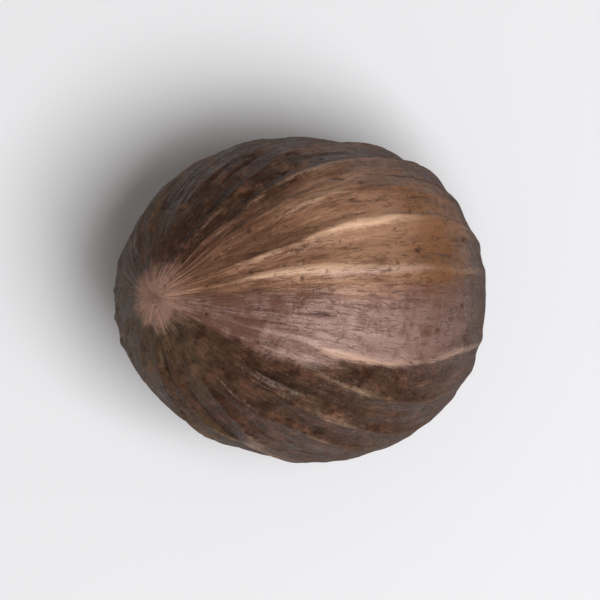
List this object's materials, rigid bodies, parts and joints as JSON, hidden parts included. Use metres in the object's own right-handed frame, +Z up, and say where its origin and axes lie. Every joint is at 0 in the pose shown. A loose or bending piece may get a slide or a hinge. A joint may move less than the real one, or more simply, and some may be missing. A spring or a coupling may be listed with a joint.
{
  "type": "whole nutmeg",
  "caption": "Whole nutmeg in its hard brown shell: a plump ovoid seed with thin fanned ribs, a pale scar at the narrow end and a small flat spot that it rests on.",
  "frame": {"origin": "on the surface that the seed rests on, under the middle of its box", "axes": "+Z up; +X along the seed, from the narrow scarred end to the blunt end; +Y across it, towards the boldly ribbed flank"},
  "size_m": [0.03, 0.0264, 0.0243],
  "materials": {
    "shell": "satin, waxy dark brown seed shell with paler tan ribs and a thin dusty bloom"
  },
  "bodies": {
    "root": {"nutmeg_seed": "shell"}
  },
  "joints": []
}
